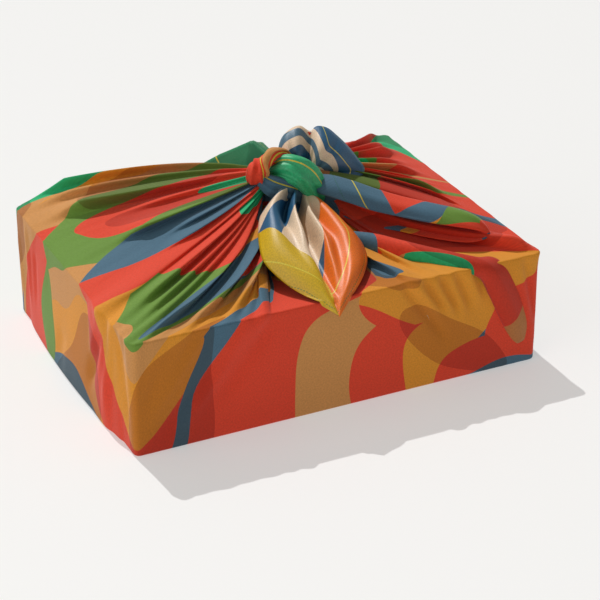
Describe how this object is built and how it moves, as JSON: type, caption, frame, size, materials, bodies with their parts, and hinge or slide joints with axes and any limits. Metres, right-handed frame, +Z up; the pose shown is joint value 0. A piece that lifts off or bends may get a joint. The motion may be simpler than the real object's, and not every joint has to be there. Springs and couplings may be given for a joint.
{
  "type": "furoshiki wrap tied round a flat box",
  "caption": "Square cloth wrapped round a flat box, pleated up to a knot on top with free ends.",
  "frame": {"origin": "the surface that the parcel rests on, under the middle of the box", "axes": "+X along the long side, +Y from the front face with the hanging end to the back, +Z up"},
  "size_m": [0.2858, 0.223, 0.1365],
  "materials": {
    "cloth": "light woven cloth, matt printed face and satin reverse",
    "board": "uncoated brown paperboard"
  },
  "bodies": {
    "root": {"wrap_cloth": "cloth", "box": "board"}
  },
  "joints": []
}
